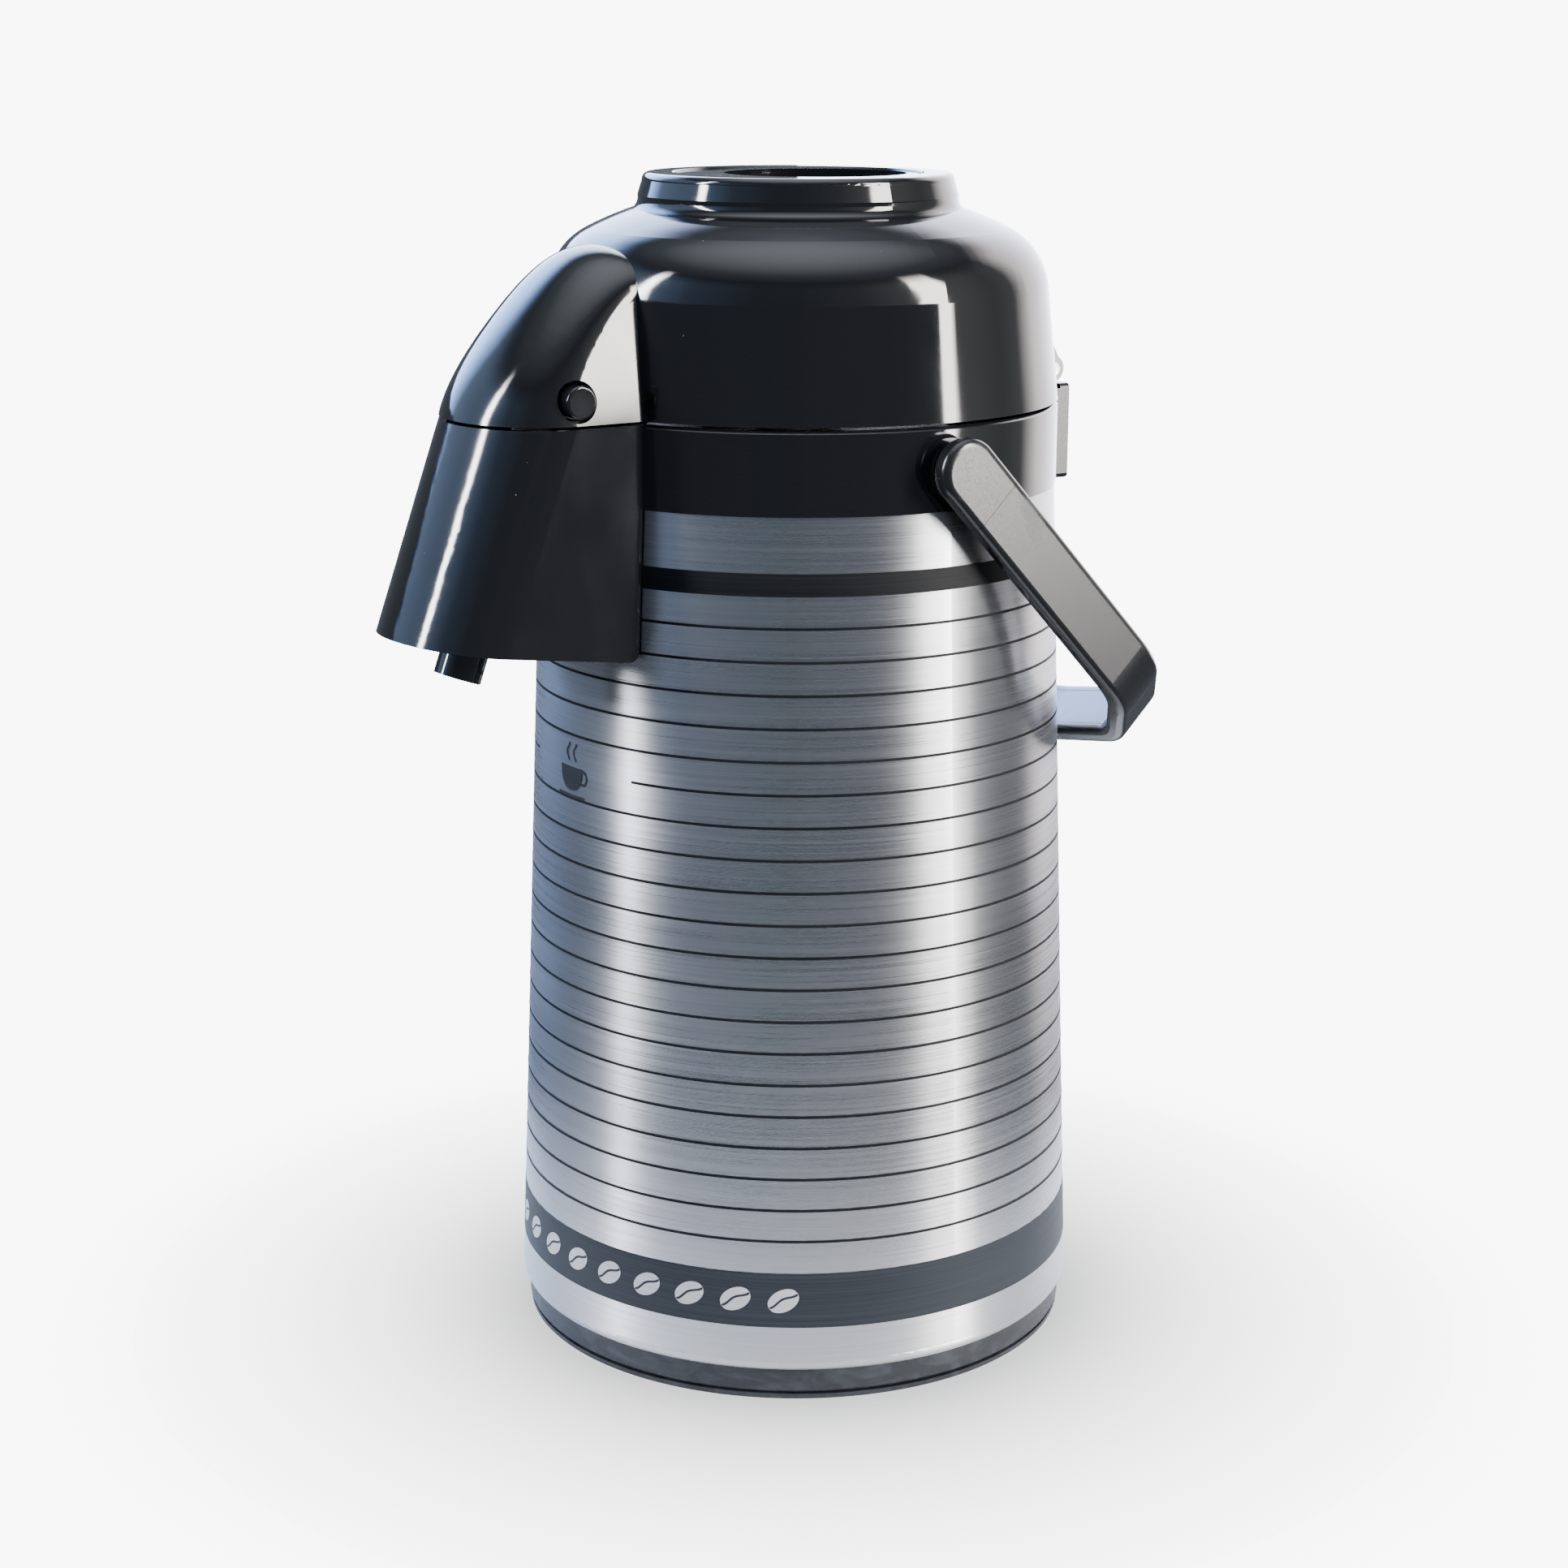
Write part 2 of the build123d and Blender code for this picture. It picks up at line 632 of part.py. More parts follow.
def lid_ears():
    x0 = knuckle_half_w + 0.4
    y_root = collar_r - moulding / 2 - 1
    frame = Plane(origin=(x0, 0, 0), x_dir=(0, 1, 0), z_dir=(1, 0, 0))
    z_crest = z_hinge + knuckle_r + ear_crest
    outline = Polyline(
        (y_root, z_lid), (y_hinge - 2, z_lid + 0.2), (y_hinge + knuckle_r, z_hinge),
        (y_hinge - 1.6, z_crest), (y_root, z_crest + 0.5), close=True,
    )
    web = extrude(frame * make_face(outline), ear_w, dir=(1, 0, 0))
    ear = web + x_rod(knuckle_r, x0, x0 + ear_w, y_hinge, z_hinge)
    return [ear, mirror(ear, Plane.YZ)]


def lid_screw_spots():
    return [polar(lid_screw_r, a) for a in (35, 145, 215, 325)]


def make_lid_shell():
    bore = button_r + button_run
    inside = dome_solid(moulding) + beak_solid(moulding)
    shell = dome_solid(0) + beak_solid(0) - inside - rod(bore, z_lid - 1, z_top + 1)
    shell += rim_and_sleeve()
    z_post = z_plate + plate_t
    under_roof = dome_solid(moulding / 2)
    for x, y in lid_screw_spots():
        shell += rod(4.2, z_post, z_dome, x, y) & under_roof
        shell -= rod(screw_r, z_post - 1, z_post + 11, x, y)
    ears = [ear - rod(collar_r - moulding / 2, z_lid - 5, z_dome) for ear in lid_ears()]
    shell += ears
    shell -= x_rod(hinge_pin_r + pin_run, -20, 20, y_hinge, z_hinge)
    well = knob_r + knob_well
    return shell - x_rod(well, -60, 60, knob_y, z_knob)


def make_lid_base_plate():
    r = collar_r - moulding - knee_in * (plate_rise + plate_t) / knee_h - fit
    disc = ring(air_port_r, r, z_plate, z_plate + plate_t)
    half_w = keeper_out + 2
    tongue = block(-half_w, half_w, knob_y - 8.5, -lid_screw_r + 2, z_plate, z_plate + plate_t)
    tongue &= beak_solid(moulding + fit)
    boss = ring(air_port_r + 3, air_port_r + 9, z_neck + 10, z_plate)
    rib = ring(neck_r + 4, neck_r + 6, z_plate - 3, z_plate)
    rib -= block(-pipe_r - 4, pipe_r + 4, -2 * neck_r, 0, z_plate - 5, z_plate)
    keeper = block(keeper_x, keeper_out, knob_y - 5, knob_y + 5, z_lid + 1, z_plate)
    plate = disc + tongue + boss + rib + keeper + mirror(keeper, Plane.YZ)
    plate -= x_rod(stem_r + stem_run, -20, 20, knob_y, z_knob)
    for x, y in lid_screw_spots():
        plate -= rod(screw_r + 0.1, z_plate - 1, z_plate + 5, x, y)
    return plate


def make_lid_screws():
    screws = []
    for x, y in lid_screw_spots():
        head = turned((0, -1.8), (2.2, -1.8), (screw_head_r, 0), (0, 0))
        shank = rod(screw_r, 0, plate_t + 9)
        slot = block(-3, 3, -cross_w / 2, cross_w / 2, -2, -1)
        screws.append(Pos(x, y, z_plate) * (head + shank - slot))
    return Compound(children=screws)


def make_lid_gasket():
    z0 = z_neck + 6 + 0.3
    z1 = z_neck + 10
    r_in, r_out = air_port_r + 3, air_port_r + 9
    lip = (r_in, z0 + 1), (r_in + 1.5, z0), (r_out - 1.5, z0), (r_out, z0 + 1)
    return turned(*lip, (r_out, z1), (r_in, z1))


# ---------------------------------------------------------------- pump
def dish_floor_z():
    return z_button - dish_depth - moulding


def make_bellows():
    z0 = z_plate + plate_t
    z1 = dish_floor_z()
    low, high = z0 + bellows_neck, z1 - bellows_neck
    step = (high - low) / (2 * bellows_folds)
    radii = (bellows_r, bellows_r + bellows_fold)
    zigzag = [(radii[i % 2], low + i * step) for i in range(2 * bellows_folds + 1)]
    line = [(bellows_r, z0), *zigzag, (bellows_r, z1)]
    inner = [(r - bellows_skin, z) for r, z in reversed(line)]
    return turned(*line, *inner)


def make_bellows_clamp_ring():
    z0 = z_plate + plate_t
    return ring(bellows_r, bellows_r + 2.4, z0, z0 + bellows_neck - 0.4)


def make_bellows_top_ring():
    z1 = dish_floor_z()
    return ring(bellows_r, bellows_r + 2.4, z1 - bellows_neck + 0.4, z1)


def make_return_spring():
    z0 = z_plate + plate_t
    return Pos(0, 0, z0) * coil(return_spring_r, return_wire, dish_floor_z() - z0, 7)


def make_air_valve_disc():
    z0 = z_plate + plate_t
    r = air_port_r + 3
    return turned((0, z0), (r, z0), (r, z0 + 0.8), (r / 3, z0 + 1.4), (0, z0 + 1.4))


def make_push_button():
    foot = z_button - button_skirt_h
    flange_r, flange_top = button_r + button_flange, foot + button_flange
    plate = turned(
        (0, z_button), (button_r - 0.8, z_button), (button_r, z_button - 0.8), (button_r, flange_top),
        (flange_r, flange_top), (flange_r, foot), (button_r - 2, foot),
        (button_r - 2, z_button - moulding), (0, z_button - moulding),
    )
    cup = rod(dish_r + moulding, dish_floor_z(), z_button, 0, dish_back) & rod(button_r, z_lid, z_top)
    hollow = rod(dish_r, z_button - dish_depth, z_top, 0, dish_back)
    soft = fillet(hollow.edges().sort_by(Axis.Z)[0], 2.0)
    button = plate + cup - soft
    return button - lock_slot()


def lock_slot():
    z = z_button - dish_depth
    half = lock_slot_w / 2
    return block(-10, 10, y_lock - half, y_lock + half, z - moulding - 1, z + 1)


def make_lock_slider():
    """Knob in the dish with a tongue through the slot and a keeper under it."""
    z = z_button - dish_depth
    z_under = z - moulding - lock_play
    x0 = -lock_travel / 2
    knob = Pos(x0, y_lock, z + lock_play) * Box(13, 11, 6.4, align=(Align.CENTER, Align.CENTER, Align.MIN))
    knob = fillet(knob.edges().filter_by(Axis.Z), 2.5)
    knob = fillet(knob.faces().sort_by(Axis.Z)[-1].edges(), 1.2)
    half = lock_slot_w / 2 - lock_play
    tongue = block(x0 - 3.5, x0 + 3.5, y_lock - half, y_lock + half, z_under, z + 1)
    keeper = block(x0 - 5, x0 + 5, y_lock - half - 1.5, y_lock + half + 1.5, z_under - 1.6, z_under)
    return knob + tongue + keeper


# ---------------------------------------------------------------- release buttons
def make_release_button(side):
    """Knob in the beak's side with a flange inside, a stem, and an arm down to the latch hook."""
    x_tip = beak_half_w - beak_lean * knob_rise + knob_proud
    x_in = knob_seat_x
    knob = x_rod(knob_r, x_in, x_tip, knob_y, z_knob)
    knob = fillet(knob.faces().sort_by(Axis.X)[-1].edges(), 0.8)
    flange = x_rod(knob_r + 2.6, x_in, x_in + 2, knob_y, z_knob) & beak_solid(moulding + release_travel / 4)
    stem = x_rod(stem_r, keeper_out + release_travel, x_in, knob_y, z_knob)
    arm = block(x_in, x_in + 2, knob_y - 4, knob_y + 4, z_knob - 20, z_knob)
    hook = block(x_in, x_in + 3.5, knob_y - 4, knob_y + 4, z_knob - 22, z_knob - 20)
    whole = knob + flange + stem + arm + hook
    return whole if side > 0 else mirror(whole, Plane.YZ)


def make_release_spring(side):
    """Drawn at the length it has with the button pressed."""
    x0 = keeper_out + spring_room
    length = knob_seat_x - release_travel - spring_room - x0
    placed = Pos(x0, knob_y, z_knob) * Rot(0, 90, 0) * coil(stem_r + 1.0, 0.7, length, 4)
    return placed if side > 0 else mirror(placed, Plane.YZ)


# ---------------------------------------------------------------- bail handle
def bail_to_place(shape):
    """From the drawing frame (u along X, v away from the pivot) to the hanging pose."""
    return Pos(0, 0, z_bail) * Rot(-bail_hang, 0, 0) * shape


def bail_area(inset):
    """Area inside the bail's outer line, drawn in by inset."""
    x_arm, x_low = bail_out, bail_out - bail_corner_in
    side, corner, mid = bail_bends
    right = (x_arm, -60), (x_arm, bail_grip_v - bail_shoulder_back), (x_low, bail_grip_v - bail_corner_back)
    left = [(-x, v) for x, v in reversed(right)]
    path = FilletPolyline(*right, (0, bail_grip_v), *left, radius=(side, corner, mid, corner, side))
    area = make_face([path, Line(path @ 1, path @ 0)])
    return offset(area, -inset) if inset else area


def bail_strip(near, far, width):
    """U-shaped strip between two insets from the bail's outer line."""
    return extrude(bail_area(near) - bail_area(far), width / 2, both=True)


def below(v):
    """Everything on the pivot side of v, in the drawing frame."""
    return block(-200, 200, -200, v, -50, 50)


def bail_whole():
    strip = bail_strip(0, bail_t, bail_w)
    strip = fillet(strip.faces().filter_by(Axis.Z).edges(), bail_edge_r) - below(0)
    for x0, x1 in ((bail_in, bail_out), (-bail_out, -bail_in)):
        end = x_rod(bail_w / 2, x0, x1, 0, 0)
        strip += fillet(end.edges().filter_by(GeomType.CIRCLE), bail_edge_r)
    return strip


def bail_cap_zone(side):
    """Outer half of an arm's end, which the cap fills."""
    mid = (bail_in + bail_out) / 2
    x0, x1 = (mid, bail_out + 1) if side > 0 else (-bail_out - 1, -mid)
    return block(x0, x1, -bail_w, bail_cap_v, -bail_w, bail_w)


def make_bail_handle():
    mid = (bail_in + bail_out) / 2
    body = bail_whole() - bail_cap_zone(1) - bail_cap_zone(-1)
    body -= bail_strip(bail_t - bail_liner_t, bail_t + 1, bail_liner_w) - below(bail_w)
    body -= x_rod(bail_pin_r + pin_run, -mid - 1, mid + 1, 0, 0)
    return bail_to_place(body)


def make_bail_grip_liner():
    trim = bail_strip(bail_t - bail_liner_t, bail_t, bail_liner_w - 2 * fit)
    return bail_to_place(trim - below(bail_w + fit))


def make_bail_end_cap(side):
    mid = (bail_in + bail_out) / 2
    gap = block(-200, 200, bail_cap_v - fit, bail_cap_v + 1, -50, 50)
    recess = x_rod(bail_pin_r + 3, -mid - 2.4, mid + 2.4, 0, 0)
    cap = (bail_whole() & bail_cap_zone(side)) - gap - recess
    return bail_to_place(cap)


def make_bail_pivot_pins():
    mid = (bail_in + bail_out) / 2
    x_in = collar_r - moulding - 3
    pin = x_rod(bail_pin_r, x_in, mid + 0.4, 0, z_bail)
    pin += x_rod(bail_pin_r + 2.4, mid + 0.4, mid + 1.9, 0, z_bail)
    pin += x_rod(bail_pin_r + 2, x_in - 1.5, x_in + 1.5, 0, z_bail)
    return Compound(children=[pin, mirror(pin, Plane.YZ)])


# ---------------------------------------------------------------- lid hinge
def make_hinge_bracket():
    y_out = y_bracket
    y_in = y_out - bracket_t
    z_low, z_high = z_split - bracket_h, z_hinge - knuckle_r - 0.4
    plate = block(-bracket_half_w, bracket_half_w, y_in, y_out, z_low, z_high)
    plate = fillet(plate.edges().filter_by(Axis.Y), 1.5)
    lip = block(bracket_half_w - 2, bracket_half_w, y_in - 3.5, y_in, z_low + 1.5, z_high - 1.5)
    lips = [lip, mirror(lip, Plane.YZ)]
    neck = block(-knuckle_half_w, knuckle_half_w, y_hinge, y_out, z_high - 2, z_hinge)
    knuckle = x_rod(knuckle_r, -knuckle_half_w, knuckle_half_w, y_hinge, z_hinge)
    body = plate + lips + neck + knuckle - x_rod(hinge_pin_r, -20, 20, y_hinge, z_hinge)
    for x in bracket_screw_xs:
        body -= y_rod(screw_r, y_in - 1, y_out + 1, x, z_bracket_screw)
        body -= y_rod(screw_head_r + 0.3, y_out - screw_head_t, y_out + 1, x, z_bracket_screw)
    return body


def make_hinge_bracket_screws():
    y_out = y_bracket
    screws = []
    seat = y_out - screw_head_t
    for x in bracket_screw_xs:
        head = y_rod(screw_head_r, seat, y_out - 0.2, x, z_bracket_screw)
        shank = y_rod(screw_r, collar_r - 1.5, seat, x, z_bracket_screw)
        slot = Pos(x, y_out - 0.4, z_bracket_screw) * Box(2 * screw_head_r, 1, cross_w)
        screws.append(head + shank - slot)
    return Compound(children=screws)


def make_hinge_pin():
    half = knuckle_half_w + 0.4 + ear_w
    return x_rod(hinge_pin_r, -half - 0.6, half + 0.6, y_hinge, z_hinge)


# ---------------------------------------------------------------- output
parts = {
    "swivel_base": make_swivel_base(),
    "non_slip_pad": make_non_slip_pad(),
    "swivel_washer": make_swivel_washer(),
    "swivel_screw": make_swivel_screw(),
    "bottom_shell": make_bottom_shell(),
    "steel_casing": make_steel_casing(),
    "flask_outer_glass": make_flask_outer_glass(),
    "flask_inner_glass": make_flask_inner_glass(),
    "flask_support": make_flask_support(),
    "flask_cushion": make_flask_cushion(),
    "shoulder_cushion": make_shoulder_cushion(),
    "neck_gasket": make_neck_gasket(),
    "pipe_plate": make_pipe_plate(),
    "dip_tube": make_dip_tube(),
    "pipe_union_nut": make_pipe_union_nut(),
    "spout_pipe": make_spout_pipe(),
    "nozzle_tip": make_nozzle_tip(),
    "nozzle_grommet": make_nozzle_grommet(),
    "shoulder_collar": make_shoulder_collar(),
    "spout_underside_cover": make_spout_underside_cover(),
    "housing_screws": make_housing_screws(),
    "hinge_bracket": make_hinge_bracket(),
    "hinge_bracket_screws": make_hinge_bracket_screws(),
    "hinge_pin": make_hinge_pin(),
    "bail_pivot_pins": make_bail_pivot_pins(),
    "bail_handle": make_bail_handle(),
    "bail_grip_liner": make_bail_grip_liner(),
    "bail_end_cap_left": make_bail_end_cap(-1),
    "bail_end_cap_right": make_bail_end_cap(1),
    "lid_shell": make_lid_shell(),
    "lid_base_plate": make_lid_base_plate(),
    "lid_screws": make_lid_screws(),
    "lid_gasket": make_lid_gasket(),
    "bellows": make_bellows(),
    "bellows_clamp_ring": make_bellows_clamp_ring(),
    "bellows_top_ring": make_bellows_top_ring(),
    "return_spring": make_return_spring(),
    "air_valve_disc": make_air_valve_disc(),
    "push_button": make_push_button(),
    "lock_slider": make_lock_slider(),
    "release_button_left": make_release_button(-1),
    "release_button_right": make_release_button(1),
    "release_spring_left": make_release_spring(-1),
    "release_spring_right": make_release_spring(1),
}

os.makedirs("parts", exist_ok=True)
for name, shape in parts.items():
    export_step(shape, f"parts/{name}.step")
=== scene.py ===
import json
import math

import bpy
from mathutils import Matrix, Vector


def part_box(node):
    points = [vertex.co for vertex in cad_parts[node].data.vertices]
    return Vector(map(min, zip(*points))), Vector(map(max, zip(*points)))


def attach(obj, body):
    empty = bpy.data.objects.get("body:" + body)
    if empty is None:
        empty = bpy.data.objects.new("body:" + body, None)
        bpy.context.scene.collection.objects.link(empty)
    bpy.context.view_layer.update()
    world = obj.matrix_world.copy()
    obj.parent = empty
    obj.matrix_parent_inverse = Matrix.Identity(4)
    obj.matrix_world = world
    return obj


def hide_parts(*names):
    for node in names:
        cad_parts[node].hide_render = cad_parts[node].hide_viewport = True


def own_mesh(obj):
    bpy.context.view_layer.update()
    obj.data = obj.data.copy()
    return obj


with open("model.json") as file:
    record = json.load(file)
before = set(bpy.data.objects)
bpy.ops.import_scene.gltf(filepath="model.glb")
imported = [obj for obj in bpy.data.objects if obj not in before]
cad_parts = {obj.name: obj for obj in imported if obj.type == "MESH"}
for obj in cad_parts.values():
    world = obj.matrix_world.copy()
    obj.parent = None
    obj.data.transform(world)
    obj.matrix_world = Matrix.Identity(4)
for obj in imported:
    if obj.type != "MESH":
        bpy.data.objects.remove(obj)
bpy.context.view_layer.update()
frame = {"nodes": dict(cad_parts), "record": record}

MM = 0.001
nodes = frame["nodes"]

# ---------------------------------------------------------------- camera
VIEW_AZIMUTH = 56.0  # degrees round from the spout towards the bail's right pivot
CAMERA_DISTANCE = 0.930
CAMERA_HEIGHT = 0.414
CAMERA_PITCH = 14.37
CAMERA_YAW = -0.235
CAMERA_ROLL = 0.177
LENS = 67.6


def turn(degrees, axis):
    return Matrix.Rotation(math.radians(degrees), 4, axis)


def round_from_spout(azimuth, radius, z):
    """Point at an azimuth counted from the spout, as the camera's is."""
    a = math.radians(azimuth)
    return Vector((radius * math.sin(a), -radius * math.cos(a), z))


def make_camera():
    data = bpy.data.cameras.new("camera")
    data.sensor_width = 36.0
    data.lens = LENS
    camera = bpy.data.objects.new("camera", data)
    bpy.context.scene.collection.objects.link(camera)
    place = Matrix.Translation(round_from_spout(VIEW_AZIMUTH, CAMERA_DISTANCE, CAMERA_HEIGHT))
    aim = turn(VIEW_AZIMUTH - CAMERA_YAW, "Z") @ turn(90 - CAMERA_PITCH, "X") @ turn(CAMERA_ROLL, "Z")
    camera.matrix_world = place @ aim
    bpy.context.scene.camera = camera


# ---------------------------------------------------------------- node helpers
class Shader:
    """A material with short calls for the nodes that the finishes share."""

    def __init__(self, name):
        self.material = bpy.data.materials.new(name)
        self.material.use_nodes = True
        self.tree = self.material.node_tree
        self.bsdf = self.tree.nodes["Principled BSDF"]

    def set(self, **values):
        for socket, value in values.items():
            self.bsdf.inputs[socket.replace("_", " ")].default_value = value
        return self

    def node(self, kind, **settings):
        made = self.tree.nodes.new(kind)
        for key, value in settings.items():
            if hasattr(made, key):
                setattr(made, key, value)
            else:
                made.inputs[key.replace("_", " ")].default_value = value
        return made

    def link(self, source, target):
        self.tree.links.new(source, target)

    def place(self, scale=(1, 1, 1)):
        """Object position, stretched by scale."""
        where = self.node("ShaderNodeTexCoord")
        stretch = self.node("ShaderNodeMapping")
        stretch.inputs["Scale"].default_value = scale
        self.link(where.outputs["Object"], stretch.inputs["Vector"])
        return stretch.outputs["Vector"]

    def noise(self, size, detail=3.0, stretch=(1, 1, 1), distortion=0.0):
        """Noise whose features are about size metres across."""
        made = self.node("ShaderNodeTexNoise", Scale=1.0 / size, Detail=detail, Distortion=distortion)
        self.link(self.place(stretch), made.inputs["Vector"])
        return made.outputs["Fac"]

    def specks(self, size, share):
        """Small round spots, one in each cell of the given size, as wide as share of it."""
        made = self.node("ShaderNodeTexVoronoi", Scale=1.0 / size)
        self.link(self.place(), made.inputs["Vector"])
        return self.remap(made.outputs["Distance"], share * 0.6, share, 1, 0)

    def remap(self, value, low, high, to_low, to_high):
        made = self.node("ShaderNodeMapRange")
        ends = {"From Min": low, "From Max": high, "To Min": to_low, "To Max": to_high}
        for socket, number in ends.items():
            made.inputs[socket].default_value = number
        self.link(value, made.inputs["Value"])
        return made.outputs["Result"]

    def math(self, operation, a, b):
        made = self.node("ShaderNodeMath", operation=operation)
        for socket, value in zip(made.inputs, (a, b)):
            if isinstance(value, (int, float)):
                socket.default_value = value
            else:
                self.link(value, socket)
        return made.outputs["Value"]

    def mix(self, share, low, high):
        made = self.node("ShaderNodeMix", data_type="RGBA")
        self.link(share, made.inputs["Factor"])
        for socket, color in ((made.inputs[6], low), (made.inputs[7], high)):
            if isinstance(color, tuple):
                socket.default_value = (*color, 1.0)
            else:
                self.link(color, socket)
        return made.outputs[2]

    def color(self, output):
        self.link(output, self.bsdf.inputs["Base Color"])

    def rough(self, output):
        self.link(output, self.bsdf.inputs["Roughness"])

    def bump(self, height, strength, depth):
        made = self.node("ShaderNodeBump")
        made.inputs["Strength"].default_value = strength
        made.inputs["Distance"].default_value = depth
        self.link(height, made.inputs["Height"])
        self.link(made.outputs["Normal"], self.bsdf.inputs["Normal"])


# ---------------------------------------------------------------- finishes
def brushed_steel():
    s = Shader("brushed_steel").set(Metallic=1.0, Anisotropic=0.9, Anisotropic_Rotation=0.25)
    hair = s.noise(1 * MM, 4.0, (0.012, 0.012, 3.0))
    long_hair = s.noise(4 * MM, 3.0, (0.03, 0.03, 6.0))
    cloud = s.noise(60 * MM, 2.0)
    lines = s.math("ADD", s.math("MULTIPLY", hair, 0.6), s.math("MULTIPLY", long_hair, 0.4))
    s.color(s.mix(s.remap(lines, 0.3, 0.7, 0, 1), (0.4, 0.405, 0.415), (0.5, 0.505, 0.52)))
    s.rough(s.math("ADD", s.remap(lines, 0.3, 0.7, 0.25, 0.33), s.remap(cloud, 0.3, 0.7, -0.02, 0.03)))
    s.bump(lines, 0.06, 0.04 * MM)
    tangent = s.node("ShaderNodeTangent", direction_type="RADIAL", axis="Z")
    s.link(tangent.outputs["Tangent"], s.bsdf.inputs["Tangent"])
    return s.material


def gloss_black():
    s = Shader("gloss_black").set(IOR=1.5)
    smudge = s.noise(35 * MM, 5.0, distortion=0.6)
    wave = s.noise(28 * MM, 1.0)
    dust = s.specks(9 * MM, 0.022)
    s.color(s.mix(dust, (0.0045, 0.005, 0.006), (0.16, 0.17, 0.18)))
    s.rough(s.math("ADD", s.remap(smudge, 0.35, 0.75, 0.045, 0.11), s.math("MULTIPLY", dust, 0.3)))
    s.bump(wave, 0.25, 0.12 * MM)
    return s.material


def satin_black():
    s = Shader("satin_black").set(IOR=1.49)
    scuff = s.remap(s.noise(5 * MM, 6.0, (1, 0.25, 0.25), 0.4), 0.62, 0.72, 0, 1)
    grain = s.noise(0.5 * MM, 2.0)
    dust = s.specks(8 * MM, 0.03)
    marks = s.math("MAXIMUM", s.math("MULTIPLY", scuff, 0.25), dust)
    s.color(s.mix(marks, (0.0075, 0.008, 0.009), (0.12, 0.125, 0.13)))
    s.rough(s.math("ADD", s.remap(grain, 0.3, 0.7, 0.2, 0.27), s.math("MULTIPLY", marks, 0.25)))
    s.bump(grain, 0.08, 0.03 * MM)
    return s.material


def base_black():
    s = Shader("base_black").set(IOR=1.47, Specular_IOR_Level=0.3)
    smear = s.remap(s.noise(12 * MM, 5.0, (1, 1, 2.2), 1.2), 0.42, 0.68, 0, 1)
    grain = s.noise(0.7 * MM, 3.0)
    s.color(s.mix(smear, (0.012, 0.014, 0.018), (0.026, 0.03, 0.037)))
    s.rough(s.math("ADD", s.remap(grain, 0.3, 0.7, 0.36, 0.46), s.math("MULTIPLY", smear, 0.14)))
    s.bump(s.math("ADD", grain, s.math("MULTIPLY", smear, 0.8)), 0.35, 0.08 * MM)
    return s.material


def print_ink(name, dark, light):
    """Screen-printed ink, which shows the brushing under it."""
    s = Shader(name).set(Specular_IOR_Level=0.12)
    lines = s.noise(2 * MM, 4.0, (0.02, 0.02, 4.0))
    s.color(s.mix(s.remap(lines, 0.3, 0.7, 0, 1), dark, light))
    s.rough(s.remap(lines, 0.3, 0.7, 0.42, 0.55))
    s.bump(lines, 0.06, 0.03 * MM)
    return s.material


def moulded_white(name, dark, light, rough):
    s = Shader(name).set(IOR=1.49, Subsurface_Weight=0.08, Subsurface_Scale=2 * MM)
    stain = s.noise(25 * MM, 5.0, distortion=0.5)
    grain = s.noise(0.8 * MM, 2.0)
    s.color(s.mix(s.remap(stain, 0.35, 0.75, 0, 1), light, dark))
    s.rough(s.remap(grain, 0.3, 0.7, rough, rough + 0.1))
    s.bump(grain, 0.1, 0.04 * MM)
    return s.material


def soft_rubber(name, dark, light):
    s = Shader(name).set(IOR=1.45)
    bloom = s.noise(10 * MM, 5.0)
    grain = s.noise(0.4 * MM, 3.0)
    s.color(s.mix(s.remap(bloom, 0.35, 0.7, 0, 1), dark, light))
    s.rough(s.remap(grain, 0.3, 0.7, 0.55, 0.75))
    s.bump(grain, 0.25, 0.05 * MM)
    return s.material


def silvered_glass():
    s = Shader("silvered_glass").set(Metallic=1.0, Coat_Weight=1.0, Coat_Roughness=0.02)
    streak = s.noise(20 * MM, 4.0, (1, 1, 0.3), 0.8)
    s.color(s.mix(s.remap(streak, 0.4, 0.7, 0, 1), (0.78, 0.79, 0.8), (0.62, 0.62, 0.64)))
    s.rough(s.remap(streak, 0.4, 0.7, 0.04, 0.12))
    return s.material


def plated_zinc():
    s = Shader("plated_zinc").set(Metallic=1.0)
    patch = s.noise(3 * MM, 4.0)
    s.color(s.mix(s.remap(patch, 0.35, 0.7, 0, 1), (0.58, 0.6, 0.62), (0.44, 0.45, 0.45)))
    s.rough(s.remap(patch, 0.35, 0.7, 0.22, 0.4))
    s.bump(patch, 0.1, 0.03 * MM)
    return s.material


# ---------------------------------------------------------------- mesh helpers
def link_mesh(name, vertices, faces, material, body):
    mesh = bpy.data.meshes.new(name)
    mesh.from_pydata(vertices, [], faces)
    mesh.validate()
    mesh.materials.append(material)
    mesh.polygons.foreach_set("use_smooth", [True] * len(mesh.polygons))
    mesh.set_sharp_from_angle(angle=math.radians(35))
    made = bpy.data.objects.new(name, mesh)
    bpy.context.scene.collection.objects.link(made)
    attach(made, body)
    return made


def lathe(profile, segments):
    """Vertices and faces of a closed (radius, height) profile turned about Z."""
    vertices, faces = [], []
    count = len(profile)
    for i in range(segments):
        a = 2 * math.pi * i / segments
        vertices += [(r * math.cos(a), r * math.sin(a), z) for r, z in profile]
    for i in range(segments):
        here, there = i * count, (i + 1) % segments * count
        for j in range(count):
            k = (j + 1) % count
            faces.append((here + j, there + j, there + k, here + k))
    return vertices, faces


def steel_radius(z):
    """Outer radius of the tapered steel at a height, measured on the CAD casing."""
    return STEEL_LINE[0] + STEEL_LINE[1] * z


